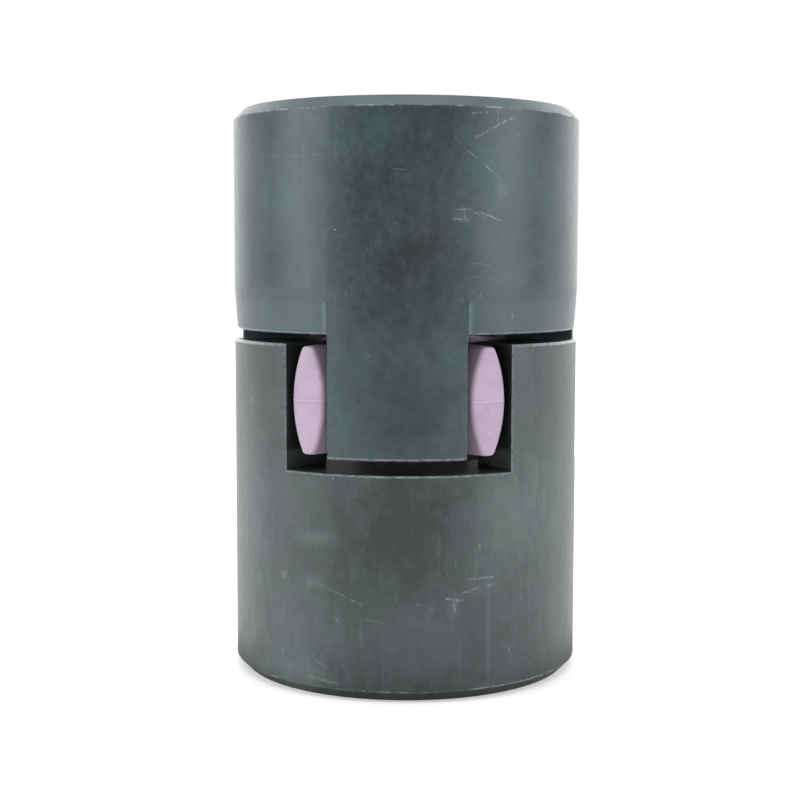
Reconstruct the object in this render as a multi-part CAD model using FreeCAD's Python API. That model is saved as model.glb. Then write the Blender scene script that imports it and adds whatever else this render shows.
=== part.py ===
import FreeCAD, Part
import math
import os

from FreeCAD import Vector

# Elastomer jaw coupling for 19 mm keyed shafts: two steel hubs with three jaws each, a six-legged
# elastomer spider between them, and one set screw per hub over the keyway.
# The origin is on the shaft axis, half way between the two end faces. +Z runs along the axis towards
# the upper hub. One jaw of the upper hub points along -Y, and one jaw of the lower hub along +Y.
# All lengths are in millimetres and all angles in degrees.

# Both hubs
OUTER_DIAMETER = 41.0
OVERALL_LENGTH = 66.0
JAWS_PER_HUB = 3
END_CHAMFER = 1.2
BORE_DIAMETER = 19.0
BORE_CHAMFER = 0.8
KEYWAY_WIDTH = 6.0
KEYWAY_HEIGHT = 21.8  # from the far side of the bore to the keyway floor
JAW_INNER_RADIUS = 12.4
TIP_BREAK = 0.3
EDGE_BREAK = 0.2

# Where the hubs differ
UPPER_BODY_LENGTH = 25.7
UPPER_JAW_LENGTH = 13.6
LOWER_BODY_LENGTH = 25.1
LOWER_JAW_LENGTH = 14.1

# Space for one spider leg between two jaws, measured square to the leg
LEG_SPACE_AT_RIM = 5.5
JAW_FLANK_RADIUS = 21.0
WIDEST_AT_RADIUS = 14.9

# Relief turned between the jaws of the upper hub
RELIEF_LENGTH = 5.0
RELIEF_DEPTH = 0.3
SHOULDER_ROUND = 0.5

# Spider
SPIDER_THICKNESS = 12.0
SPIDER_HOLE_DIAMETER = 18.0
SPIDER_RING_DIAMETER = 23.0
LEG_TIP_RADIUS = 20.0
LEG_WIDTH = 6.0
LEG_PLAN_RADIUS = 13.5
LEG_CROWN_RADIUS = 13.3

# Set screws, M5 x 8 with a hexagon socket and a cup point
SCREW_DIAMETER = 5.0
SCREW_LENGTH = 8.0
SCREW_CLEARANCE = 0.03  # radial, between the screw and its hole
SCREW_FROM_END = 10.0
SCREW_HEAD_CHAMFER = 0.4
SCREW_POINT_CHAMFER = 0.8
CUP_DIAMETER = 2.5
CUP_DEPTH = 0.6
SOCKET_ACROSS_FLATS = 2.5
SOCKET_DEPTH = 2.5
HOLE_COUNTERSINK = 0.4

# Worked out from the dimensions above
OUTER_RADIUS = OUTER_DIAMETER / 2
BORE_RADIUS = BORE_DIAMETER / 2
HALF_LENGTH = OVERALL_LENGTH / 2
KEYWAY_FLOOR = KEYWAY_HEIGHT - BORE_RADIUS
JAW_PITCH = 360.0 / JAWS_PER_HUB
LEG_PITCH = JAW_PITCH / 2
HALF_SPACE_AT_RIM = LEG_SPACE_AT_RIM / 2
BEYOND = 5.0  # how far a cutting tool runs past the metal
TOUCHING = 0.01

# Directions in a hub's own frame, where its end face is at z = 0 and its jaws point along +Z
FIRST_JAW = 90.0
LOWER_KEY_ANGLE = FIRST_JAW
UPPER_KEY_ANGLE = FIRST_JAW - JAW_PITCH
SEAM_ANGLE = FIRST_JAW + JAW_PITCH  # the jaw that has no keyway on either hub

ORIGIN = Vector(0, 0, 0)
X_AXIS = Vector(1, 0, 0)
Y_AXIS = Vector(0, 1, 0)
Z_AXIS = Vector(0, 0, 1)


def polar(along, across, angle):
    """The point `along` a ray at `angle` and `across` it, counter-clockwise."""
    turn = math.radians(angle)
    x = along * math.cos(turn) - across * math.sin(turn)
    y = along * math.sin(turn) + across * math.cos(turn)
    return Vector(x, y, 0)


def turned(shape, angle):
    copy = shape.copy()
    copy.rotate(ORIGIN, Z_AXIS, angle)
    return copy


def revolved(edges, degrees=360.0):
    """A solid from a closed outline in the XZ plane, turned about the Z axis."""
    face = Part.Face(Part.Wire(edges))
    return face.revolve(ORIGIN, Z_AXIS, degrees)


def outline(points):
    """Straight edges through (radius, z) points, closed back to the first."""
    corners = [Vector(r, 0, z) for r, z in points]
    return [Part.makeLine(a, b) for a, b in zip(corners, corners[1:] + corners[:1])]


def circle_drop(radius, across):
    """How far an arc falls away from its tangent."""
    return radius - math.sqrt(radius**2 - across**2)


def half_leg_space(along):
    """Half the width of the space for a leg, at this distance along the leg's centre line."""
    rim_along = math.sqrt(OUTER_RADIUS**2 - HALF_SPACE_AT_RIM**2)
    rim_drop = circle_drop(JAW_FLANK_RADIUS, rim_along - WIDEST_AT_RADIUS)
    drop = circle_drop(JAW_FLANK_RADIUS, along - WIDEST_AT_RADIUS)
    return HALF_SPACE_AT_RIM + rim_drop - drop


def turned_blank(body_length, jaw_length):
    """The hub as it leaves the lathe: bored, chamfered, and with one full ring where the jaws will be."""
    tip = body_length + jaw_length
    blank = revolved(
        outline(
            [
                (BORE_RADIUS + BORE_CHAMFER, 0),
                (OUTER_RADIUS - END_CHAMFER, 0),
                (OUTER_RADIUS, END_CHAMFER),
                (OUTER_RADIUS, tip - TIP_BREAK),
                (OUTER_RADIUS - TIP_BREAK, tip),
                (JAW_INNER_RADIUS + TIP_BREAK, tip),
                (JAW_INNER_RADIUS, tip - TIP_BREAK),
                (JAW_INNER_RADIUS, body_length),
                (BORE_RADIUS + BORE_CHAMFER, body_length),
                (BORE_RADIUS, body_length - BORE_CHAMFER),
                (BORE_RADIUS, BORE_CHAMFER),
            ]
        )
    )
    return turned(blank, SEAM_ANGLE)


def flank(leg_angle, side):
    """The jaw flank beside a leg, as an arc from inside the jaw ring to outside the rim."""
    stations = (JAW_INNER_RADIUS - 2, WIDEST_AT_RADIUS, OUTER_RADIUS + 2)
    points = [polar(u, side * half_leg_space(u), leg_angle) for u in stations]
    return points[0], Part.Arc(*points).toShape(), points[2]


def jaw_slot(jaw_angle, body_length, jaw_length):
    """What is milled away between the jaw at this angle and the next jaw counter-clockwise."""
    leg_before = jaw_angle + LEG_PITCH / 2
    leg_after = jaw_angle + JAW_PITCH - LEG_PITCH / 2
    inner_a, arc_a, outer_a = flank(leg_before, -1)
    inner_b, arc_b, outer_b = flank(leg_after, 1)
    far = polar(2 * OUTER_RADIUS, 0, jaw_angle + JAW_PITCH / 2)
    near = polar(JAW_INNER_RADIUS / 2, 0, jaw_angle + JAW_PITCH / 2)
    wire = Part.Wire(
        [
            arc_a,
            Part.makeLine(outer_a, far),
            Part.makeLine(far, outer_b),
            arc_b,
            Part.makeLine(inner_b, near),
            Part.makeLine(near, inner_a),
        ]
    )
    wire.translate(Vector(0, 0, body_length))
    return Part.Face(wire).extrude(Vector(0, 0, jaw_length + BEYOND))


def keyway(key_angle, length):
    """The broach runs the whole length of the hub."""
    cut = Part.makeBox(KEYWAY_FLOOR, KEYWAY_WIDTH, length, Vector(0, -KEYWAY_WIDTH / 2, 0))
    return turned(cut, key_angle)


def screw_hole(key_angle):
    """The hole for the set screw, over the keyway, with a small countersink at the rim."""
    radius = SCREW_DIAMETER / 2 + SCREW_CLEARANCE
    start = Vector(BORE_RADIUS, 0, SCREW_FROM_END)
    through = OUTER_RADIUS - BORE_RADIUS + BEYOND
    hole = Part.makeCylinder(radius, through, start, X_AXIS)
    sink_start = Vector(OUTER_RADIUS - HOLE_COUNTERSINK, 0, SCREW_FROM_END)
    sink = Part.makeCone(radius, radius + BEYOND, BEYOND, sink_start, X_AXIS)
    return turned(hole.fuse(sink), key_angle)


def at_rim(point):
    return abs(math.hypot(point.x, point.y) - OUTER_RADIUS) < TOUCHING


def jaw_edges(solid, body_length):
    """The long outer edges of the jaws, where a flank meets the rim."""
    found = []
    for edge in solid.Edges:
        box = edge.BoundBox
        upright = max(box.XLength, box.YLength) < TOUCHING
        if upright and at_rim(edge.CenterOfMass) and edge.CenterOfMass.z > body_length:
            found.append(edge)
    return found


def floor_edges(solid, body_length):
    """The outer edges of the floors between the jaws."""
    found = []
    for edge in solid.Edges:
        box = edge.BoundBox
        on_floor = box.ZLength < TOUCHING and abs(box.ZMin - body_length) < TOUCHING
        if on_floor and all(at_rim(vertex.Point) for vertex in edge.Vertexes):
            found.append(edge)
    return found


def relief(jaw_angle, body_length):
    """The shallow taper and the rounded shoulder between two jaws of the upper hub."""
    jaw_edge = math.degrees(math.asin(HALF_SPACE_AT_RIM / OUTER_RADIUS))
    start_angle = jaw_angle + LEG_PITCH / 2 - jaw_edge
    sweep = JAW_PITCH - LEG_PITCH + 2 * jaw_edge
    shoulder_radius = OUTER_RADIUS - RELIEF_DEPTH
    outside = OUTER_RADIUS + BEYOND
    taper_start = Vector(OUTER_RADIUS, 0, body_length - RELIEF_LENGTH)
    round_start = Vector(shoulder_radius, 0, body_length - SHOULDER_ROUND)
    round_end = Vector(shoulder_radius - SHOULDER_ROUND, 0, body_length)
    bulge = SHOULDER_ROUND * (1 - math.sqrt(0.5))
    round_middle = Vector(shoulder_radius - bulge, 0, body_length - bulge)
    edges = [
        Part.makeLine(taper_start, round_start),
        Part.Arc(round_start, round_middle, round_end).toShape(),
        Part.makeLine(round_end, Vector(outside, 0, body_length)),
        Part.makeLine(Vector(outside, 0, body_length), Vector(outside, 0, taper_start.z)),
        Part.makeLine(Vector(outside, 0, taper_start.z), taper_start),
    ]
    return turned(revolved(edges, sweep), start_angle)


def hub(body_length, jaw_length, key_angle, relieved):
    """One hub in its own frame. A relieved hub has its floor edges rounded by the relief instead."""
    solid = turned_blank(body_length, jaw_length)
    jaw_angles = [FIRST_JAW + JAW_PITCH * n for n in range(JAWS_PER_HUB)]
    solid = solid.cut([jaw_slot(angle, body_length, jaw_length) for angle in jaw_angles])
    edges = jaw_edges(solid, body_length)
    cuts = [keyway(key_angle, body_length + jaw_length), screw_hole(key_angle)]
    if relieved:
        cuts += [relief(angle, body_length) for angle in jaw_angles]
    else:
        edges += floor_edges(solid, body_length)
    return solid.makeChamfer(EDGE_BREAK, edges).cut(cuts).Solids[0]


def upper_place(shape):
    """From a hub's own frame to the upper end: jaws down, end face up."""
    copy = shape.copy()
    copy.rotate(ORIGIN, X_AXIS, 180)
    copy.translate(Vector(0, 0, HALF_LENGTH))
    return copy


def lower_place(shape):
    """From a hub's own frame to the lower end: jaws up, end face down."""
    copy = shape.copy()
    copy.translate(Vector(0, 0, -HALF_LENGTH))
    return copy


def leg_barrel(side):
    """A barrel whose surface is one crowned side of a leg along +X."""
    half = SPIDER_THICKNESS / 2
    end_radius = LEG_PLAN_RADIUS - circle_drop(LEG_CROWN_RADIUS, half)
    bottom = Vector(end_radius, 0, -half)
    top = Vector(end_radius, 0, half)
    edges = [
        Part.makeLine(Vector(0, 0, -half), bottom),
        Part.Arc(bottom, Vector(LEG_PLAN_RADIUS, 0, 0), top).toShape(),
        Part.makeLine(top, Vector(0, 0, half)),
        Part.makeLine(Vector(0, 0, half), Vector(0, 0, -half)),
    ]
    barrel = revolved(edges)
    barrel.translate(Vector(WIDEST_AT_RADIUS, side * (LEG_PLAN_RADIUS - LEG_WIDTH / 2), 0))
    return barrel


def spider_leg():
    """One crowned leg along +X, from inside the ring to its rounded outer face."""
    half = SPIDER_THICKNESS / 2
    inner = (SPIDER_HOLE_DIAMETER + SPIDER_RING_DIAMETER) / 4
    low = Vector(0, 0, -half)
    rim = Part.makeCylinder(LEG_TIP_RADIUS, SPIDER_THICKNESS, low)
    eye = Part.makeCylinder(inner, SPIDER_THICKNESS, low)
    return leg_barrel(1).common(leg_barrel(-1)).common(rim).cut(eye)


def spider():
    half = SPIDER_THICKNESS / 2
    low = Vector(0, 0, -half)
    ring = Part.makeCylinder(SPIDER_RING_DIAMETER / 2, SPIDER_THICKNESS, low)
    ring = ring.cut(Part.makeCylinder(SPIDER_HOLE_DIAMETER / 2, SPIDER_THICKNESS, low))
    leg = [s for s in spider_leg().Solids if s.CenterOfMass.x > 0][0]
    legs = [turned(leg, LEG_PITCH * n) for n in range(2 * JAWS_PER_HUB)]
    return ring.fuse(legs).Solids[0]


def set_screw(key_angle):
    """Along +X in a hub's own frame: point at the keyway floor, socket at the rim."""
    radius = SCREW_DIAMETER / 2
    body = revolved(
        outline(
            [
                (0, CUP_DEPTH),
                (CUP_DIAMETER / 2, 0),
                (radius - SCREW_POINT_CHAMFER, 0),
                (radius, SCREW_POINT_CHAMFER),
                (radius, SCREW_LENGTH - SCREW_HEAD_CHAMFER),
                (radius - SCREW_HEAD_CHAMFER, SCREW_LENGTH),
                (0, SCREW_LENGTH),
            ]
        )
    )
    corner = SOCKET_ACROSS_FLATS / math.sqrt(3)
    corners = [polar(corner, 0, 60 * n) for n in range(7)]
    socket = Part.Face(Part.makePolygon(corners))
    socket.translate(Vector(0, 0, SCREW_LENGTH - SOCKET_DEPTH))
    screw = body.cut(socket.extrude(Vector(0, 0, SOCKET_DEPTH + BEYOND)))
    screw.rotate(ORIGIN, Y_AXIS, 90)
    screw.translate(Vector(KEYWAY_FLOOR, 0, SCREW_FROM_END))
    return turned(screw, key_angle)


def main():
    upper = hub(UPPER_BODY_LENGTH, UPPER_JAW_LENGTH, UPPER_KEY_ANGLE, relieved=True)
    lower = hub(LOWER_BODY_LENGTH, LOWER_JAW_LENGTH, LOWER_KEY_ANGLE, relieved=False)
    parts = {
        "upper_hub": upper_place(upper),
        "lower_hub": lower_place(lower),
        "spider": spider(),
        "upper_set_screw": upper_place(set_screw(UPPER_KEY_ANGLE)),
        "lower_set_screw": lower_place(set_screw(LOWER_KEY_ANGLE)),
    }
    os.makedirs("parts", exist_ok=True)
    for node, shape in parts.items():
        shape.exportStep(f"parts/{node}.step")


main()
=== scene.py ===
import math

import bpy
import bmesh
from mathutils import Matrix, Vector
from mathutils.geometry import delaunay_2d_cdt


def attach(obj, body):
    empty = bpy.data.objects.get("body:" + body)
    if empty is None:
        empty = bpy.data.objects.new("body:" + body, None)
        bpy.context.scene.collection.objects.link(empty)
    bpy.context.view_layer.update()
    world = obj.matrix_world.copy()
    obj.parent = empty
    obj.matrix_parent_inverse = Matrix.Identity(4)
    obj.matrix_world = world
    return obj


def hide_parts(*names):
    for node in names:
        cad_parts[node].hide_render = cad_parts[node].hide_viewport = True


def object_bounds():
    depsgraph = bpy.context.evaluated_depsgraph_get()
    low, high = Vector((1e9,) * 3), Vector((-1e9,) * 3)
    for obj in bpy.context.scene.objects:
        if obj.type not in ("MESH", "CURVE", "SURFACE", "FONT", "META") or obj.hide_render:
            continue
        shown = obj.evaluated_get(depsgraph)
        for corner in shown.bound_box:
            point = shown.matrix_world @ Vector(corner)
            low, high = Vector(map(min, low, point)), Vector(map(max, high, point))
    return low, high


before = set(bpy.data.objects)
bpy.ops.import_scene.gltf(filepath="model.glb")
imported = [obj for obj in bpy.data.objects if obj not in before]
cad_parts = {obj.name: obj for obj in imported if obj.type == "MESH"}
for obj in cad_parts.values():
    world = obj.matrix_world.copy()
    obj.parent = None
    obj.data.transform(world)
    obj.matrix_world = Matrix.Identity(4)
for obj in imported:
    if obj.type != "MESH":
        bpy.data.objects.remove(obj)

# The looks of an elastomer jaw coupling: two phosphated steel hubs, a lilac spider between their jaws and
# a set screw in each hub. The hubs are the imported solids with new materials. The spider and the screws
# are finer meshes that take the place of their plain solids. The camera, the stage and the lights are in
# metres. The marks, the spider and the screws are worked out in millimetres. Named angles are in degrees.

MM = 0.001
CAD_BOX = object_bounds()
LOW, HIGH = CAD_BOX
RADIUS = HIGH.x
FLOOR_Z = LOW.z - 0.02 * MM

# Camera, for the 41 mm coupling standing on its lower hub
CAMERA_AZIMUTH = 2.84
CAMERA_DISTANCE = 181.2 * MM
CAMERA_HEIGHT = 15.17 * MM
CAMERA_DOWN = 5.24
CAMERA_YAW = 0.217
CAMERA_ROLL = 0.107
LENS_MM = 67.46
SENSOR_MM = 36.0
CLIP = (0.01, 20.0)

# Stage and light
FLOOR_RADIUS = 1.2
FLOOR_SIDES = 96
FLOOR_WHITE = (0.9, 0.9, 0.9)
FLOOR_GLOW = 0.35
FLOOR_ROUGHNESS = 0.9
PAINTED_CONTACT_SHADOW_FADE = (1.1 * RADIUS, 1.6 * RADIUS)  # from the axis: inside it, reflections of the floor are darkened by a painted contact shadow
PAINTED_CONTACT_SHADOW_DEPTH = 0.6
WORLD_FRONT_FADE = (-0.9, -0.2)  # how far along Y the light comes from: -1 is the front, 1 is the back
WORLD_BACK_FADE = (0.3, 0.9)
WORLD_FRONT = 0.15
WORLD_SIDE = 0.7
WORLD_BACK = 2.3
LEFT_RADIANCE = 2.85
RIGHT_RADIANCE = 2.4
TOP_RADIANCE = 1.2
SIDE_BOX_SIZE = (0.32, 0.9)
SIDE_BOX_HEIGHT = 0.08
SIDE_BOX_DISTANCE = 0.6
TOP_BOX_SIZE = (0.7, 0.7)
TOP_BOX_HEIGHT = 0.9
TOP_BOX_DISTANCE = 0.05

# The hubs' marks and finishes, in millimetres
CHAMFER_START = HIGH.z / MM - 1.2
RELIEF_TOP = 12.3
RELIEF_SHADE = 0.26
BESIDE_JAW_PAINTED_HIGHLIGHT = 1.8
JAW_HALF_ANGLE = 22.7
BARE_INSIDE = 12.7
STEEL_IOR = 1.65
SCRATCH_TONE = (0.32, 0.37, 0.36)
DARK_SCRATCH_TONE = (0.008, 0.010, 0.012)
WORN_TONE = (0.21, 0.245, 0.245)
BARE_STEEL_TONE = (0.42, 0.42, 0.43)
UPPER_TONES = ((0.025, 0.042, 0.047), (0.022, 0.045, 0.049), (0.033, 0.040, 0.043))
LOWER_TONES = ((0.029, 0.037, 0.037), (0.028, 0.042, 0.039), (0.037, 0.037, 0.043))

# The spider, in millimetres
SPIDER_THICKNESS = 12.0
HOLE_RADIUS = 9.0
RING_RADIUS = 11.5
TIP_RADIUS = 20.0
LEG_WIDTH = 6.0
LEG_PLAN_RADIUS = 13.5
LEG_CROWN_RADIUS = 13.3
WIDEST_AT = 14.9
LEG_FILLET = 0.8
LEG_CORNER = 0.5
EDGE_ROUND = 0.3
HOLE_SIDES = 144
PARTING_LINE = ((-0.16, 0.0), (-0.07, 0.04), (0.0, 0.05), (0.07, 0.04), (0.16, 0.0))  # (height, ridge)
FLANK_RIDGE = 0.4  # of the ridge at the tip, so that the flanks clear the jaws when wound up

# The set screws, M5 x 8, in millimetres
SCREW_RADIUS = 2.5
SCREW_LENGTH = 8.0
SCREW_PITCH = 0.8
SCREW_STEP = 0.08
SCREW_SIDES = 72
THREAD_DEPTH = 0.45
HEAD_CHAMFER = 0.4
POINT_CHAMFER = 0.8
CUP_DIAMETER = 2.5
CUP_DEPTH = 0.6
SOCKET_FLATS = 2.5
SOCKET_DEPTH = 2.5
SOCKET_CHAMFER = 0.18
SOCKET_CHAMFER_DEPTH = 0.15
SOCKET_CONE = 0.35
CENTRE_RADIUS = 0.12
THREAD_CREST = 0.18
THREAD_FLANK = 0.70
KEYWAY_FLOOR = 12.3
SCREW_PLACES = (("upper", 30, 23.0), ("lower", 90, -23.0))  # (hub, angle from +X, height)


# ---------------------------------------------------------------- node writing


class Nodes:
    """Writes shader nodes as expressions. A value is a number, a tuple or another node's output."""

    def __init__(self, tree):
        self.tree = tree

    def add(self, kind, **settings):
        node = self.tree.nodes.new(kind)
        for name, value in settings.items():
            setattr(node, name, value)
        return node

    def put(self, socket, value):
        if isinstance(value, bpy.types.NodeSocket):
            self.tree.links.new(value, socket)
        else:
            socket.default_value = value

    def math(self, operation, *values, clamp=False):
        node = self.add("ShaderNodeMath", operation=operation, use_clamp=clamp)
        for socket, value in zip(node.inputs, values):
            self.put(socket, value)
        return node.outputs[0]

    def vector(self, operation, *values):
        node = self.add("ShaderNodeVectorMath", operation=operation)
        for socket, value in zip(node.inputs, values):
            self.put(socket, value)
        result = "Value" if operation in ("LENGTH", "DOT_PRODUCT") else "Vector"
        return node.outputs[result]

    def scaled(self, vector, factor):
        node = self.add("ShaderNodeVectorMath", operation="SCALE")
        self.put(node.inputs["Vector"], vector)
        self.put(node.inputs["Scale"], factor)
        return node.outputs["Vector"]

    def separate(self, vector):
        node = self.add("ShaderNodeSeparateXYZ")
        self.put(node.inputs[0], vector)
        return node.outputs

    def combine(self, x, y, z):
        node = self.add("ShaderNodeCombineXYZ")
        for socket, value in zip(node.inputs, (x, y, z)):
            self.put(socket, value)
        return node.outputs[0]

    def noise(self, vector, scale, detail=3.0, roughness=0.5, distortion=0.0):
        node = self.add("ShaderNodeTexNoise")
        self.put(node.inputs["Vector"], vector)
        node.inputs["Scale"].default_value = scale
        node.inputs["Detail"].default_value = detail
        node.inputs["Roughness"].default_value = roughness
        node.inputs["Distortion"].default_value = distortion
        return node.outputs["Fac"]

    def cells(self, vector, scale):
        """The distance to the nearest point of a random scatter, and that point's own random number."""
        node = self.add("ShaderNodeTexVoronoi")
        self.put(node.inputs["Vector"], vector)
        node.inputs["Scale"].default_value = scale
        return node.outputs["Distance"], self.separate(node.outputs["Color"])[0]

    def span(self, value, low, high, out_low=0.0, out_high=1.0):
        """A smooth step from out_low to out_high as value goes from low to high."""
        node = self.add("ShaderNodeMapRange", interpolation_type="SMOOTHSTEP")
        for socket, number in zip(node.inputs, (value, low, high, out_low, out_high)):
            self.put(socket, number)
        return node.outputs[0]

    def blend(self, factor, a, b, how="MIX"):
        node = self.add("ShaderNodeMix", data_type="RGBA", blend_type=how)
        self.put(node.inputs["Factor"], factor)
        for socket, value in zip((node.inputs[6], node.inputs[7]), (a, b)):
            self.put(socket, (*value, 1) if isinstance(value, tuple) else value)
        return node.outputs[2]

    def bump(self, height, strength, distance):
        node = self.add("ShaderNodeBump")
        node.inputs["Strength"].default_value = strength
        node.inputs["Distance"].default_value = distance
        self.put(node.inputs["Height"], height)
        return node.outputs["Normal"]


# ---------------------------------------------------------------- stage, camera and light


def rotation(axis, degrees):
    return Matrix.Rotation(math.radians(degrees), 4, axis)


def make_camera():
    data = bpy.data.cameras.new("camera")
    data.lens = LENS_MM
    data.sensor_width = SENSOR_MM
    data.clip_start, data.clip_end = CLIP
    camera = bpy.data.objects.new("camera", data)
    place = rotation("Z", CAMERA_AZIMUTH) @ Matrix.Translation((0, -CAMERA_DISTANCE, CAMERA_HEIGHT))
    aim = rotation("Z", CAMERA_YAW) @ rotation("X", 90 - CAMERA_DOWN) @ rotation("Z", CAMERA_ROLL)
    camera.matrix_world = place @ aim
    bpy.context.scene.collection.objects.link(camera)
    bpy.context.scene.camera = camera


def make_floor():
    """A white disc. Its own faint glow keeps it as pale as the backdrop, so that no horizon shows.

    In reflections it carries a painted shadow close to the coupling, dark as a real one is in the narrow gap
    under a chamfer.
    """
    mesh = bpy.data.meshes.new("floor")
    form = bmesh.new()
    bmesh.ops.create_circle(form, cap_ends=True, radius=FLOOR_RADIUS, segments=FLOOR_SIDES)
    form.to_mesh(mesh)
    form.free()
    floor = bpy.data.objects.new("floor", mesh)
    floor.location.z = FLOOR_Z
    bpy.context.scene.collection.objects.link(floor)
    material = bpy.data.materials.new("floor")
    material.use_nodes = True
    shader = material.node_tree.nodes["Principled BSDF"]
    nodes = Nodes(material.node_tree)
    away = nodes.vector("LENGTH", nodes.add("ShaderNodeTexCoord").outputs["Object"])
    reflected = nodes.add("ShaderNodeLightPath").outputs["Is Glossy Ray"]
    # painted shadow: in reflections the floor's colour and glow darken close to the coupling
    painted_contact_shadow = nodes.math("MULTIPLY", nodes.span(away, *PAINTED_CONTACT_SHADOW_FADE, PAINTED_CONTACT_SHADOW_DEPTH, 0.0), reflected)
    left_after_painted_shadow = nodes.math("SUBTRACT", 1.0, painted_contact_shadow)
    nodes.put(shader.inputs["Base Color"], nodes.scaled(FLOOR_WHITE, left_after_painted_shadow))
    shader.inputs["Roughness"].default_value = FLOOR_ROUGHNESS
    shader.inputs["Emission Color"].default_value = (1, 1, 1, 1)
    nodes.put(shader.inputs["Emission Strength"], nodes.math("MULTIPLY", left_after_painted_shadow, FLOOR_GLOW))
    mesh.materials.append(material)


def soft_box(name, azimuth, height, distance, size, radiance):
    """A soft box that faces the coupling. Azimuth is measured from the camera's side, towards +X."""
    data = bpy.data.lights.new(name, "AREA")
    data.shape = "RECTANGLE"
    data.size, data.size_y = size
    data.energy = radiance * math.pi * size[0] * size[1]
    light = bpy.data.objects.new(name, data)
    place = rotation("Z", azimuth) @ Vector((0, -distance, height))
    light.location = place
    light.rotation_euler = (-place).to_track_quat("-Z", "Y").to_euler()
    bpy.context.scene.collection.objects.link(light)


def make_world():
    """The camera sees plain white. As a light it is dim from -Y, the front, and full from +Y, the back."""
    world = bpy.data.worlds.new("studio")
    world.use_nodes = True
    nodes = Nodes(world.node_tree)
    back = world.node_tree.nodes["Background"]
    direction = nodes.add("ShaderNodeTexCoord").outputs["Generated"]
    along = nodes.separate(direction)[1]
    front = nodes.span(along, *WORLD_FRONT_FADE, WORLD_FRONT, WORLD_SIDE)
    behind = nodes.span(along, *WORLD_BACK_FADE, 0.0, WORLD_BACK - WORLD_SIDE)
    light = nodes.math("ADD", front, behind)
    seen = nodes.add("ShaderNodeLightPath").outputs["Is Camera Ray"]
    unseen = nodes.math("MULTIPLY", nodes.math("SUBTRACT", 1.0, seen), light)
    nodes.put(back.inputs["Strength"], nodes.math("ADD", seen, unseen))
    back.inputs["Color"].default_value = (1, 1, 1, 1)
    bpy.context.scene.world = world
    bpy.context.scene.view_settings.view_transform = "Standard"


def make_lights():
    soft_box("left_box", -66, SIDE_BOX_HEIGHT, SIDE_BOX_DISTANCE, SIDE_BOX_SIZE, LEFT_RADIANCE)
    soft_box("right_box", 68, SIDE_BOX_HEIGHT, SIDE_BOX_DISTANCE, SIDE_BOX_SIZE, RIGHT_RADIANCE)
    soft_box("top_box", 0, TOP_BOX_HEIGHT, TOP_BOX_DISTANCE, TOP_BOX_SIZE, TOP_RADIANCE)


make_camera()
make_floor()
make_world()
make_lights()

# ---------------------------------------------------------------- steel

# Marks on the hubs; some of the patches are painted light instead, noted where they stand. Angles run from
# the upper hub's front jaw, at -Y, towards +X. Heights are along Z.
# A patch is (angle, height, half width, half height, shade, tint): tint is above 0 for green and below 0
# for purple. A scratch is (angle, height, angle, height, width, strength). Lengths are in millimetres.
UPPER_PATCHES_AND_PAINTED_LIGHT = (
    (9, 15.6, 3.2, 3.4, -0.50, -0.9),
    (-8, 14.2, 2.6, 1.7, -0.28, 0.3),
    # painted shade: the middle of the upper hub's front darker
    (4, 25, 5.5, 6.0, -0.26, 0.0),
    (2, 10, 4.5, 3.0, -0.42, 0.1),
    (-31, 24, 1.6, 7.0, -0.20, 0.0),
    (22, 22, 1.8, 6.0, 0.42, 0.1),
    (-37, 22.5, 2.8, 2.6, 0.28, 0.6),
    (-50, 20, 2.0, 8.0, 0.20, 0.6),
    (-44, 14.5, 3.2, 1.8, -0.34, 0.0),
    (-20, 21, 3.2, 5.0, -0.10, -0.3),
    (24, 29, 3.0, 2.5, -0.10, 0.0),
    (38, 26, 3.6, 3.0, 0.12, 0.4),
    (27, 18.0, 2.2, 4.0, 0.14, -0.2),
    (42, 17, 2.8, 4.0, -0.12, 0.3),
    (58, 20, 2.2, 9.0, 0.10, 0.8),
    (33, 23.0, 0.5, 0.8, 1.00, 0.3),
    (20, 20.1, 1.0, 0.7, 0.45, 0.2),
    # painted shade: the middle of the upper hub's front jaw darker
    (4, 0, 3.6, 5.5, -0.50, 0.7),
    (-14, -1.0, 2.0, 4.5, 0.14, 0.3),
    (17, 2.0, 1.5, 4.0, 0.10, -0.2),
)
UPPER_SCRATCHES = (
    (24, 28.5, 30, 29.6, 0.11, 0.8),
    (30, 29.6, 37, 30.8, 0.12, 1.0),
    (31.5, 31.4, 31.7, 29.9, 0.11, 0.5),
    (34, 31.4, 34.1, 30.6, 0.11, 0.4),
    (23, 31.0, 28, 31.2, 0.12, 0.8),
    (17.6, 28.4, 22, 27.0, 0.10, 0.4),
    (22, 27.0, 28, 25.4, 0.10, 0.45),
    (28, 25.4, 32.5, 24.2, 0.12, 0.7),
    (17, 20.8, 22.5, 20.9, 0.11, 0.7),
    (17.4, 19.9, 21.6, 19.7, 0.16, 0.7),
    (20.6, 21.0, 21.0, 19.6, 0.12, 0.5),
    (22.6, 20.7, 27.5, 20.0, 0.10, 0.7),
    (25.5, 20.6, 33.5, 19.6, 0.10, 0.9),
    (-50, 26.8, -23, 26.7, 0.08, 0.25),
    (-1, 25.1, 3, 25.0, 0.10, 0.4),
    (23, 15.2, 29, 14.9, 0.10, 0.35),
    (24, 13.6, 31, 13.5, 0.10, 0.25),
    (-30, 29.0, -29.8, 23.5, 0.10, 0.20),
    (-37.5, 21.0, -36.4, 19.8, 0.14, -0.5),
    (-9, 21.8, -8, 21.1, 0.16, -0.5),
    (4, 24.5, 6, 24.6, 0.14, -0.5),
    (36, 19.0, 38, 18.3, 0.12, -0.5),
    (-8.6, 0.7, -5.4, 0.4, 0.10, -0.5),
)
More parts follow.
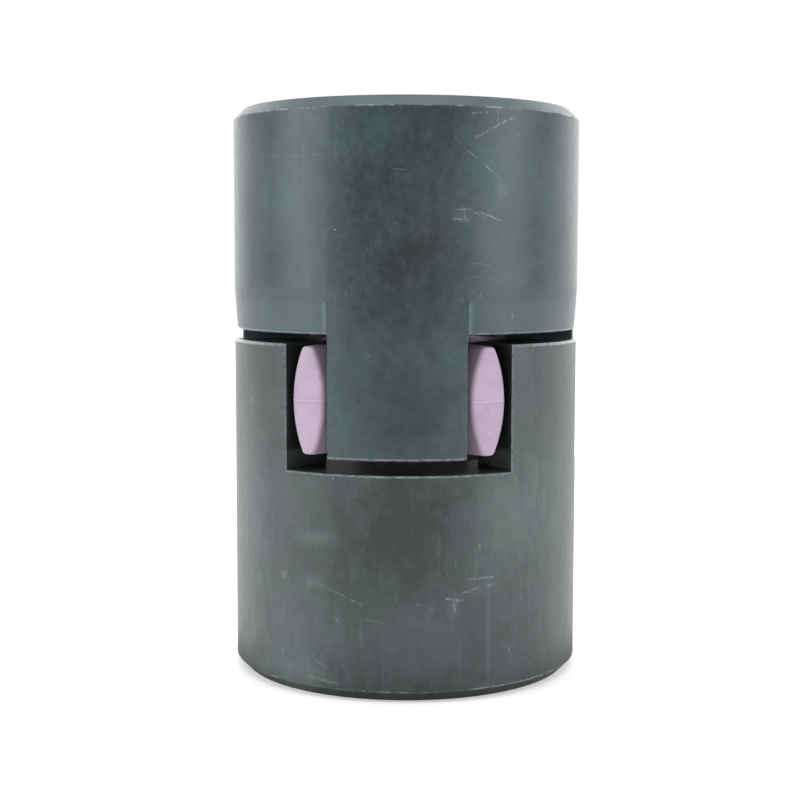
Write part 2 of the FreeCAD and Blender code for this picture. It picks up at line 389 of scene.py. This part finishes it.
LOWER_PATCHES_AND_PAINTED_LIGHT = (
    # painted shade: the middle of the lower hub's front darker
    (1, -12.5, 4.0, 5.0, -0.80, 0.4),
    (-18, -14, 2.6, 5.0, -0.10, 0.0),
    (19, -13, 2.0, 4.0, -0.46, -0.9),
    (37, -13, 4.6, 4.6, 0.86, 0.7),
    (32, -26, 3.2, 3.6, -0.34, -0.8),
    (-46, -12, 3.5, 4.5, 0.14, -1.0),
    (-27, -15.2, 1.7, 0.6, 0.90, 0.6),
    (-22, -14.6, 1.0, 0.8, 0.45, 0.4),
    (-27, -20.1, 0.8, 0.6, 0.90, 0.6),
    (-39, -19.7, 0.4, 0.4, 1.60, 0.4),
    (-38, -26.5, 5.5, 4.5, 0.80, -0.1),
    (-10, -21, 4.0, 2.4, -0.08, 0.4),
    (11, -26, 5.0, 3.5, 0.28, -0.7),
    (-2, -18.5, 4.5, 2.5, -0.14, 0.2),
    (18, -22.1, 0.6, 0.9, 0.80, 0.3),
    (28, -20.2, 1.2, 0.8, 0.50, 0.2),
    # painted highlights: these two patches make the lower hub paler towards its sides
    (-59, -16, 3.0, 12.0, 0.90, 0.5),
    (58, -16, 3.0, 11.0, 0.60, 0.5),
    (-33, -30.8, 4.0, 1.3, 0.70, 0.2),
    # painted highlight: a small white glint on a lower jaw's edge
    (-56, -0.5, 0.35, 0.35, 1.4, 0.2),
    (-48, -16.7, 0.10, 1.0, 0.9, 0.3),
    (25, -18, 0.16, 1.3, 0.7, 0.2),
    (13, -16, 0.14, 2.2, 0.5, 0.0),
    (29.5, -26.5, 0.20, 4.2, 0.8, 0.0),
    (46, -23, 0.12, 4.0, 0.5, 0.2),
    (-11, -25.5, 0.18, 1.6, 0.6, 0.0),
    (-4, -27, 0.12, 2.2, 0.4, 0.0),
    (20, -28.5, 0.12, 2.4, 0.4, 0.0),
)
LOWER_SCRATCHES = (
    (-24, -20.3, -17, -21.2, 0.11, 0.6),
    (-17, -21.2, -10, -22.2, 0.11, 0.6),
    (15.5, -21.5, 20.5, -21.7, 0.18, 0.9),
    (17.8, -21.6, 18.2, -22.9, 0.18, 0.8),
    (21, -20.9, 26, -20.5, 0.14, 0.7),
    (23, -19.4, 31, -19.4, 0.11, 0.8),
    (29, -20.4, 31, -20.2, 0.16, 0.8),
    (6, -22.0, 9, -22.1, 0.10, 0.5),
    (9, -22.1, 11.6, -22.9, 0.10, 0.5),
    (-27, -28.6, -22, -29.6, 0.14, 0.5),
    (-28, -30.8, -19, -31.2, 0.14, 0.6),
    (-21, -23.6, -18, -24.2, 0.14, 0.7),
    (-9, -23.8, -3, -24.1, 0.10, 0.35),
    (0, -20.4, 0.4, -21.8, 0.10, 0.3),
)


def hub_places(nodes):
    """Where a point of a hub is, and which way its surface faces. `unrolled` is its place on the flat rim."""
    coordinates = nodes.add("ShaderNodeTexCoord")
    point = nodes.scaled(coordinates.outputs["Object"], 1 / MM)
    x, y, z = nodes.separate(point)
    flat = nodes.combine(x, y, 0.0)
    outward = nodes.vector("NORMALIZE", flat)
    rim = RADIUS / MM
    turn = nodes.math("ARCTAN2", x, nodes.math("MULTIPLY", y, -1.0))
    normal = coordinates.outputs["Normal"]
    sideways = nodes.vector("CROSS_PRODUCT", outward, (0, 0, 1))
    return {
        "height": z,
        "end": nodes.math("ABSOLUTE", z),
        "away": nodes.vector("LENGTH", flat),
        "turn": turn,
        "unrolled": nodes.combine(nodes.math("MULTIPLY", turn, rim), z, 0.0),
        "point": point,
        "facing_out": nodes.math("ABSOLUTE", nodes.vector("DOT_PRODUCT", normal, outward)),
        "facing_up": nodes.math("ABSOLUTE", nodes.separate(normal)[2]),
        "facing_round": nodes.math("ABSOLUTE", nodes.vector("DOT_PRODUCT", normal, sideways)),
    }


def unrolled_place(angle, height):
    return (math.radians(angle) * RADIUS / MM, height, 0.0)


def patch_sums(nodes, places, patches):
    """The shades and the tints of soft-edged patches, each added up; some of the shades are painted shade and
    highlights.
    """
    edge_noise = nodes.noise(nodes.vector("MULTIPLY", places["point"], (1.0, 1.0, 0.5)), 0.7, 4.0, 0.6)
    ragged = nodes.span(edge_noise, 0.25, 0.75, -0.4, 0.4)
    shade = 0.0
    tint = 0.0
    for angle, height, half_width, half_height, amount, hue in patches:
        away = nodes.vector("SUBTRACT", places["unrolled"], unrolled_place(angle, height))
        away = nodes.vector("DIVIDE", away, (half_width, half_height, 1.0))
        reach = nodes.math("ADD", nodes.vector("LENGTH", away), ragged)
        mask = nodes.span(reach, 0.2, 2.0, 1.0, 0.0)
        shade = nodes.math("MULTIPLY_ADD", mask, amount, shade)
        tint = nodes.math("MULTIPLY_ADD", mask, hue, tint)
    on_rim = nodes.span(places["away"], 18.6, 19.6)
    return nodes.math("MULTIPLY", shade, on_rim), nodes.math("MULTIPLY", tint, on_rim)


def scratch_sum(nodes, places, scratches, breaks):
    """Thin strokes between pairs of places on the rim, ragged where the `breaks` noise is low."""
    wobble = nodes.noise(places["point"], 1.3, 2.0)
    drift = nodes.combine(0.0, nodes.math("MULTIPLY_ADD", wobble, 0.4, -0.2), 0.0)
    place = nodes.vector("ADD", places["unrolled"], drift)
    total = 0.0
    for angle, height, end_angle, end_height, width, amount in scratches:
        start = Vector(unrolled_place(angle, height))
        run = Vector(unrolled_place(end_angle, end_height)) - start
        offset = nodes.vector("SUBTRACT", place, tuple(start))
        along = nodes.vector("DOT_PRODUCT", offset, tuple(run / run.length_squared))
        along = nodes.math("MULTIPLY", along, 1.0, clamp=True)
        miss = nodes.vector("SUBTRACT", offset, nodes.scaled(tuple(run), along))
        line = nodes.span(nodes.vector("LENGTH", miss), width * 0.3, width, amount, 0.0)
        total = nodes.math("ADD", total, line)
    return nodes.math("MULTIPLY", total, breaks)


def edge_wear(nodes, places, breaks):
    """How worn the coating is: on the small edge breaks and, in runs, where a hub's end chamfer starts."""
    squarest = nodes.math("MAXIMUM", places["facing_out"], places["facing_up"])
    squarest = nodes.math("MAXIMUM", squarest, places["facing_round"])
    slanted = nodes.span(squarest, 0.93, 0.80)
    off_end = nodes.span(places["end"], CHAMFER_START, CHAMFER_START - 0.1)
    outside = nodes.span(places["away"], 18.5, 19.0)
    breaks_worn = nodes.math("MULTIPLY", nodes.math("MULTIPLY", slanted, off_end), outside)
    near_line = nodes.math("ABSOLUTE", nodes.math("SUBTRACT", places["end"], CHAMFER_START))
    line = nodes.span(near_line, 0.07, 0.15, 1.0, 0.0)
    run = nodes.span(nodes.noise(places["point"], 0.25, 3.0, 0.7), 0.47, 0.57, 0.1, 0.9)
    line = nodes.math("MULTIPLY", nodes.math("MULTIPLY", line, run), outside)
    worn = nodes.math("MAXIMUM", breaks_worn, line)
    return nodes.math("MULTIPLY", worn, nodes.span(breaks, 0.0, 1.0, 0.3, 0.9))


def relief_band_and_painted_highlight(nodes, places):
    """How much paler the upper hub is on the relief between its jaws, with a painted highlight on the fillet
    next to each jaw.
    """
    low = nodes.span(places["height"], RELIEF_TOP + 0.6, RELIEF_TOP - 0.8)
    above = nodes.span(places["height"], 7.0, 7.2)
    recessed = nodes.span(places["away"], 20.42, 20.36)
    band = nodes.math("MULTIPLY", nodes.math("MULTIPLY", low, above), recessed)
    from_jaw = nodes.math("PINGPONG", places["turn"], math.radians(60))
    to_side = nodes.math("ABSOLUTE", nodes.math("SUBTRACT", from_jaw, math.radians(JAW_HALF_ANGLE)))
    # painted highlight: a bright thin line where the relief's fillet meets each jaw
    painted_fillet_highlight = nodes.span(to_side, 0.0, math.radians(1.6), BESIDE_JAW_PAINTED_HIGHLIGHT, 0.0)
    return nodes.math("MULTIPLY", band, nodes.math("ADD", painted_fillet_highlight, RELIEF_SHADE))


def phosphated_steel(name, tones, patches, scratches, streaks, scuffing, chamfer_painted_light):
    """Satin phosphate coating: clouds, patches (some of them painted shade and highlights), streaks along the
    axis, scuffs, worn edges, painted light on the end chamfer and next to the jaws; a bare bore.
    """
    material = bpy.data.materials.new(name)
    material.use_nodes = True
    nodes = Nodes(material.node_tree)
    shader = material.node_tree.nodes["Principled BSDF"]
    places = hub_places(nodes)
    point = places["point"]
    cloud = nodes.noise(point, 0.14, 6.0, 0.6, 0.5)
    tint_cloud = nodes.noise(nodes.vector("ADD", point, (31.0, 7.0, 3.0)), 0.12, 5.0, 0.55, 0.6)
    blotch = nodes.noise(point, 0.45, 5.0, 0.6, 0.6)
    mottle = nodes.noise(point, 1.4, 4.0, 0.6)
    speckle = nodes.noise(point, 6.0, 3.0, 0.6)
    streak_place = nodes.vector("MULTIPLY", point, (1.0, 1.0, 0.08))
    streak = nodes.noise(streak_place, 1.1, 4.0, 0.65)
    fine_streak = nodes.noise(nodes.vector("MULTIPLY", point, (1.0, 1.0, 0.12)), 4.0, 3.0, 0.6)
    streaked = nodes.span(nodes.noise(point, 0.3, 3.0, 0.5), 0.42, 0.62, 0.25, 1.0)
    breaks = nodes.span(nodes.noise(point, 1.5, 4.0, 0.65), 0.40, 0.56, 0.15, 1.0)
    patch_shade, patch_tint = patch_sums(nodes, places, patches)

    # the tint slides from purple, through the plain tone, to green
    plain_tone, green, purple = tones
    tint = nodes.math("ADD", patch_tint, nodes.span(tint_cloud, 0.30, 0.70, -0.6, 0.6))
    colour = nodes.blend(nodes.math("MULTIPLY", tint, 0.8, clamp=True), plain_tone, green)
    colour = nodes.blend(nodes.math("MULTIPLY", tint, -0.8, clamp=True), colour, purple)

    # the shade is a brightness added to 1; with the random tone and the marks it carries painted shade and
    # highlights
    shade = nodes.math("ADD", patch_shade, nodes.span(cloud, 0.28, 0.72, -0.26, 0.26))
    shade = nodes.math("ADD", shade, nodes.span(blotch, 0.30, 0.70, -0.14, 0.14))
    shade = nodes.math("ADD", shade, nodes.span(mottle, 0.28, 0.72, -0.15, 0.15))
    shade = nodes.math("ADD", shade, nodes.span(speckle, 0.2, 0.8, -0.06, 0.06))
    both = nodes.math("MULTIPLY_ADD", fine_streak, 0.35, streak)
    lines = nodes.span(both, 0.45, 0.92, -streaks, streaks)
    shade = nodes.math("ADD", shade, nodes.math("MULTIPLY", lines, streaked))
    shade = nodes.math("ADD", shade, relief_band_and_painted_highlight(nodes, places))
    facing_end = nodes.span(places["facing_up"], 0.9, 0.98)
    # painted light on the end chamfer: a painted highlight on the upper hub and painted shade on the lower
    # one
    painted_chamfer_light_mask = nodes.span(places["end"], CHAMFER_START, CHAMFER_START + 0.2)
    painted_chamfer_light_mask = nodes.math("MULTIPLY", painted_chamfer_light_mask, nodes.math("SUBTRACT", 1.0, facing_end))
    shade = nodes.math("MULTIPLY_ADD", painted_chamfer_light_mask, chamfer_painted_light, shade)
    level = nodes.math("MAXIMUM", nodes.math("ADD", shade, 1.0), 0.2)
    colour = nodes.blend(1.0, colour, nodes.combine(level, level, level), "MULTIPLY")

    # scratches and rubbed spots are paler than the coating
    distance, number = nodes.cells(point, 0.30)
    spot = nodes.math("MULTIPLY", nodes.span(distance, 0.036, 0.020), nodes.span(number, 0.80, 0.84))
    nick_distance, nick_number = nodes.cells(nodes.vector("MULTIPLY", point, (1.0, 1.0, 0.35)), 0.55)
    nick = nodes.math("MULTIPLY", nodes.span(nick_distance, 0.10, 0.05), nodes.span(nick_number, 0.80, 0.84))
    pits = nodes.math("ADD", spot, nodes.math("MULTIPLY", nick, 0.35))
    curl_place = nodes.vector("MULTIPLY", point, (1.0, 1.0, 0.5))
    curl = nodes.math("ABSOLUTE", nodes.math("SUBTRACT", nodes.noise(curl_place, 0.8, 1.0, 0.5), 0.5))
    curl = nodes.math("MULTIPLY", nodes.span(curl, 0.004, 0.012, 1.0, 0.0), scuffing)
    rubbed = nodes.span(nodes.noise(nodes.vector("ADD", point, (13.0, 5.0, 29.0)), 0.4, 3.0, 0.6), 0.52, 0.66)
    pits = nodes.math("MULTIPLY_ADD", curl, rubbed, pits)
    scuffed = nodes.math("ADD", scratch_sum(nodes, places, scratches, breaks), pits)
    scuffed = nodes.math("MULTIPLY", scuffed, nodes.span(places["away"], 19.6, 19.9))
    worn = edge_wear(nodes, places, breaks)
    colour = nodes.blend(nodes.math("MULTIPLY", scuffed, 0.5, clamp=True), colour, SCRATCH_TONE)
    colour = nodes.blend(nodes.math("MULTIPLY", scuffed, -1.0, clamp=True), colour, DARK_SCRATCH_TONE)
    colour = nodes.blend(worn, colour, WORN_TONE)

    # the bore and keyway were cut after coating, so they are bare
    inside = nodes.span(places["away"], BARE_INSIDE + 0.05, BARE_INSIDE)
    inside = nodes.math("MULTIPLY", inside, nodes.span(places["facing_up"], 0.95, 0.90))
    bare = nodes.math("MULTIPLY", inside, nodes.span(places["end"], 8.3, 8.5))
    colour = nodes.blend(bare, colour, BARE_STEEL_TONE)
    tool_line = nodes.noise(nodes.vector("MULTIPLY", point, (0.02, 0.02, 1.0)), 9.0, 2.0, 0.7)
    rings = nodes.noise(nodes.combine(places["away"], 0.0, 0.0), 7.0, 2.0, 0.7)

    nodes.put(shader.inputs["Base Color"], colour)
    nodes.put(shader.inputs["Metallic"], bare)
    roughness = nodes.span(nodes.math("MULTIPLY_ADD", streak, 0.5, mottle), 0.4, 1.1, 0.33, 0.45)
    nodes.put(shader.inputs["Roughness"], nodes.math("MULTIPLY_ADD", worn, -0.08, roughness))
    shader.inputs["IOR"].default_value = STEEL_IOR
    shader.inputs["Specular Tint"].default_value = (0.88, 1.0, 1.01, 1)
    relief = nodes.math("MULTIPLY", speckle, 0.5)
    relief = nodes.math("MULTIPLY_ADD", fine_streak, 0.4, relief)
    relief = nodes.math("MULTIPLY_ADD", nodes.math("MULTIPLY", rings, facing_end), 2.0, relief)
    relief = nodes.math("MULTIPLY_ADD", nodes.math("MULTIPLY", tool_line, bare), 1.5, relief)
    nodes.put(shader.inputs["Normal"], nodes.bump(relief, 0.5, 0.012 * MM))
    return material


def dress(node, material):
    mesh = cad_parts[node].data
    mesh.materials.clear()
    mesh.materials.append(material)


# ---------------------------------------------------------------- spider


def drop(radius, offset):
    """How far an arc of this radius has fallen at this offset from its top."""
    return radius - math.sqrt(radius**2 - offset**2)


def leg_half_width(along, height):
    """Half the width of a crowned leg, this far along it from the axis and this high above its middle."""
    return LEG_WIDTH / 2 - drop(LEG_PLAN_RADIUS, along - WIDEST_AT) - drop(LEG_CROWN_RADIUS, height)


def arc_steps(count):
    return [math.pi / 2 * step / count for step in range(count + 1)]


def half_leg(height, inset, ridge):
    """One side of a leg, from the valley's middle to the tip's middle, as (radius, angle in radians)."""
    ring = RING_RADIUS - inset
    tip = TIP_RADIUS - inset + ridge
    start = ring + LEG_FILLET
    places = []

    def width(radius):
        return leg_half_width(radius, height) - inset + FLANK_RIDGE * ridge

    root_width = width(start)
    valley = math.asin((root_width + LEG_FILLET) / ring)
    for step in range(5):
        share = step / 5
        places.append((ring, math.pi / 6 * (1 - share) + valley * share))
    for t in arc_steps(5):
        radius = start - LEG_FILLET * math.cos(t)
        places.append((radius, math.asin((root_width + LEG_FILLET * (1 - math.sin(t))) / radius)))
    rounding = min(LEG_CORNER, 0.7 * width(tip - LEG_CORNER))
    corner = tip - rounding
    for step in range(1, 12):
        radius = start + (corner - start) * step / 12
        places.append((radius, math.asin(width(radius) / radius)))
    for t in arc_steps(6):
        radius = corner + rounding * math.sin(t)
        places.append((radius, math.asin((width(corner) - rounding * (1 - math.cos(t))) / radius)))
    edge = places[-1][1]
    for step in (1, 2, 3):
        places.append((tip, edge * (1 - step / 4)))
    return places


def spider_outline(height, inset, ridge):
    """The outline of all six legs at one height, counter-clockwise, in millimetres."""
    half = half_leg(height, inset, ridge)
    tip = (half[-1][0], 0.0)
    leg = [(radius, -angle) for radius, angle in half] + [tip] + [(r, a) for r, a in reversed(half[1:])]
    points = []
    for number in range(6):
        turn = number * math.pi / 3
        points += [(r * math.cos(a + turn), r * math.sin(a + turn)) for r, a in leg]
    return points


def spider_levels():
    """(height, inset, ridge) for every slice, from the bottom up: rounded edges and a fine parting line."""
    half = SPIDER_THICKNESS / 2
    rounded = [(half - EDGE_ROUND * (1 - math.sin(t)), EDGE_ROUND * (1 - math.cos(t))) for t in arc_steps(5)]
    body = [half * step / 14 for step in range(1, 13)]
    upper = [(h, 0.0, 0.0) for h in body if 0.3 < h < half - EDGE_ROUND] + [(h, i, 0.0) for h, i in rounded]
    parting = [(h, 0.0, ridge) for h, ridge in PARTING_LINE]
    return [(-h, i, r) for h, i, r in reversed(upper)] + parting + upper


def stitch(form, rings):
    """Quads between each ring of vertices and the next."""
    for lower, upper in zip(rings, rings[1:]):
        count = len(lower)
        for place in range(count):
            after = (place + 1) % count
            form.faces.new((lower[place], lower[after], upper[after], upper[place]))


def cap_between(form, outer, hole):
    """Triangles between an outer ring of vertices and a hole's ring, both at one height."""
    ring = outer + hole
    flat = [Vector((v.co.x, v.co.y)) for v in ring]
    first = len(outer)
    edges = [(n, (n + 1) % first) for n in range(first)]
    edges += [(first + n, first + (n + 1) % len(hole)) for n in range(len(hole))]
    filled = delaunay_2d_cdt(flat, edges, [list(range(first))], 1, 1e-9)
    for face in filled[2]:
        corners = [filled[3][n][0] for n in face]
        if min(corners) < first:
            form.faces.new([ring[n] for n in corners])


def finished(name, form, body, node, material):
    """Turns a bmesh in millimetres into a closed piece that stands for a CAD node."""
    bmesh.ops.recalc_face_normals(form, faces=form.faces)
    bmesh.ops.scale(form, vec=(MM, MM, MM), verts=form.verts)
    mesh = bpy.data.meshes.new(name)
    form.to_mesh(mesh)
    form.free()
    mesh.shade_smooth()
    mesh.set_sharp_from_angle(angle=math.radians(35))
    mesh.materials.append(material)
    piece = bpy.data.objects.new(name, mesh)
    bpy.context.scene.collection.objects.link(piece)
    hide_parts(node)
    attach(piece, body)


def make_spider(material):
    form = bmesh.new()
    levels = spider_levels()
    sides = []
    holes = []
    for height, inset, ridge in levels:
        sides.append([form.verts.new((x, y, height)) for x, y in spider_outline(height, inset, ridge)])
        radius = HOLE_RADIUS + inset
        turns = [2 * math.pi * n / HOLE_SIDES for n in range(HOLE_SIDES)]
        holes.append([form.verts.new((radius * math.cos(a), radius * math.sin(a), height)) for a in turns])
    stitch(form, sides)
    stitch(form, holes)
    cap_between(form, sides[0], holes[0])
    cap_between(form, sides[-1], holes[-1])
    finished("spider_moulding", form, "spider", "spider", material)


def cast_polyurethane():
    """Satin lilac elastomer: faint clouding, a fine moulded grain, a few dark specks and dust."""
    material = bpy.data.materials.new("cast_polyurethane")
    material.use_nodes = True
    nodes = Nodes(material.node_tree)
    shader = material.node_tree.nodes["Principled BSDF"]
    point = nodes.scaled(nodes.add("ShaderNodeTexCoord").outputs["Object"], 1 / MM)
    cloud = nodes.noise(point, 0.35, 4.0, 0.6)
    grain = nodes.noise(point, 5.0, 4.0, 0.65)
    flow = nodes.noise(nodes.vector("MULTIPLY", point, (1.0, 1.0, 3.0)), 1.2, 3.0, 0.5)
    colour = nodes.blend(nodes.span(cloud, 0.35, 0.65), (0.42, 0.322, 0.436), (0.475, 0.362, 0.478))
    colour = nodes.blend(nodes.span(flow, 0.45, 0.75, 0.0, 0.35), colour, (0.53, 0.43, 0.54))
    distance, number = nodes.cells(point, 0.9)
    speck = nodes.math("MULTIPLY", nodes.span(distance, 0.10, 0.06), nodes.span(number, 0.88, 0.92))
    colour = nodes.blend(nodes.math("MULTIPLY", speck, 0.45), colour, (0.16, 0.12, 0.16))
    height = nodes.separate(point)[2]
    # painted shadow: a thin dark line just under the parting line's ridge; painted highlight: a pale line
    # along the ridge
    painted_shadow_under_ridge = nodes.span(nodes.math("ABSOLUTE", nodes.math("ADD", height, 0.20)), 0.03, 0.12, 0.22, 0.0)
    colour = nodes.blend(painted_shadow_under_ridge, colour, (0.22, 0.16, 0.23))
    painted_highlight_on_ridge = nodes.span(nodes.math("ABSOLUTE", height), 0.04, 0.10, 0.20, 0.0)
    colour = nodes.blend(painted_highlight_on_ridge, colour, (0.72, 0.62, 0.72))
    nodes.put(shader.inputs["Base Color"], colour)
    nodes.put(shader.inputs["Roughness"], nodes.span(grain, 0.3, 0.7, 0.42, 0.54))
    shader.inputs["IOR"].default_value = 1.5
    shader.inputs["Subsurface Weight"].default_value = 0.12
    shader.inputs["Subsurface Radius"].default_value = (0.9, 0.6, 0.8)
    shader.inputs["Subsurface Scale"].default_value = 0.8 * MM
    nodes.put(shader.inputs["Normal"], nodes.bump(grain, 0.35, 0.02 * MM))
    return material


# ---------------------------------------------------------------- set screws


def thread_depth(along, angle):
    """How deep the thread's groove is here, with flat crests and roots."""
    phase = (along / SCREW_PITCH - angle / (2 * math.pi)) % 1.0
    from_crest = abs(phase - 0.5) * 2
    return THREAD_DEPTH * min(1.0, max(0.0, (from_crest - THREAD_CREST) / THREAD_FLANK))


def screw_radius(along, angle):
    """The thread cut into a bar, then both ends chamfered."""
    threaded = SCREW_RADIUS - thread_depth(along, angle)
    point_end = SCREW_RADIUS - POINT_CHAMFER + along
    socket_end = SCREW_RADIUS - HEAD_CHAMFER + SCREW_LENGTH - along
    return min(threaded, point_end, socket_end)


def hexagon_radius(angle):
    return SOCKET_FLATS / 2 / math.cos((angle + math.pi / 6) % (math.pi / 3) - math.pi / 6)


def make_screw(name, body, node, place, material):
    """A cup-point set screw along +Z, from its cup at 0 to its socket, then moved to its place."""
    form = bmesh.new()
    angles = [2 * math.pi * n / SCREW_SIDES for n in range(SCREW_SIDES)]

    def ring(height, radius_at):
        made = []
        for angle in angles:
            radius = radius_at(angle)
            made.append(form.verts.new((radius * math.cos(angle), radius * math.sin(angle), height)))
        return made

    rings = []
    cup = CUP_DIAMETER / 2
    for radius, height in ((CENTRE_RADIUS, CUP_DEPTH), (cup * 0.5, CUP_DEPTH * 0.5), (cup, 0.0)):
        rings.append(ring(height, lambda angle: radius))
    count = round(SCREW_LENGTH / SCREW_STEP)
    for step in range(count + 1):
        along = SCREW_LENGTH * step / count
        rings.append(ring(along, lambda angle: screw_radius(along, angle)))
    rings.append(ring(SCREW_LENGTH, lambda angle: hexagon_radius(angle) + SOCKET_CHAMFER))
    rings.append(ring(SCREW_LENGTH - SOCKET_CHAMFER_DEPTH, hexagon_radius))
    rings.append(ring(SCREW_LENGTH - SOCKET_DEPTH, hexagon_radius))
    rings.append(ring(SCREW_LENGTH - SOCKET_DEPTH - SOCKET_CONE, lambda angle: CENTRE_RADIUS))
    stitch(form, rings)
    form.faces.new(rings[0])
    form.faces.new(rings[-1])
    bmesh.ops.transform(form, matrix=place, verts=form.verts)
    finished(name, form, body, node, material)


def black_oxide():
    """Oily black oxide, brown-grey where it's rubbed, with paler grey flecks of steel here and there."""
    material = bpy.data.materials.new("black_oxide")
    material.use_nodes = True
    nodes = Nodes(material.node_tree)
    shader = material.node_tree.nodes["Principled BSDF"]
    coordinates = nodes.add("ShaderNodeTexCoord")
    point = nodes.scaled(coordinates.outputs["Object"], 1 / MM)
    cloud = nodes.noise(point, 1.1, 4.0, 0.6)
    grain = nodes.noise(point, 9.0, 3.0, 0.6)
    colour = nodes.blend(nodes.span(cloud, 0.35, 0.65), (0.018, 0.018, 0.020), (0.040, 0.034, 0.030))
    colour = nodes.blend(nodes.span(grain, 0.55, 0.75, 0.0, 0.5), colour, (0.10, 0.10, 0.10))
    nodes.put(shader.inputs["Base Color"], colour)
    shader.inputs["Metallic"].default_value = 0.6
    nodes.put(shader.inputs["Roughness"], nodes.span(grain, 0.3, 0.7, 0.30, 0.44))
    nodes.put(shader.inputs["Normal"], nodes.bump(grain, 0.4, 0.01 * MM))
    return material


# ---------------------------------------------------------------- everything together

dress(
    "upper_hub",
    phosphated_steel(
        "upper_hub_steel",
        UPPER_TONES,
        UPPER_PATCHES_AND_PAINTED_LIGHT,
        UPPER_SCRATCHES,
        streaks=0.12,
        scuffing=0.14,
        chamfer_painted_light=1.1,
    ),
)
dress(
    "lower_hub",
    phosphated_steel(
        "lower_hub_steel",
        LOWER_TONES,
        LOWER_PATCHES_AND_PAINTED_LIGHT,
        LOWER_SCRATCHES,
        streaks=0.30,
        scuffing=0.18,
        chamfer_painted_light=-0.45,
    ),
)
make_spider(cast_polyurethane())
oxide = black_oxide()
for side, facing, height in SCREW_PLACES:
    aim = rotation("Z", facing) @ rotation("Y", 90)
    reach = rotation("Z", facing) @ Vector((KEYWAY_FLOOR, 0, height))
    place = Matrix.Translation(reach) @ aim
    make_screw(f"{side}_threaded_screw", f"{side}_screw", f"{side}_set_screw", place, oxide)
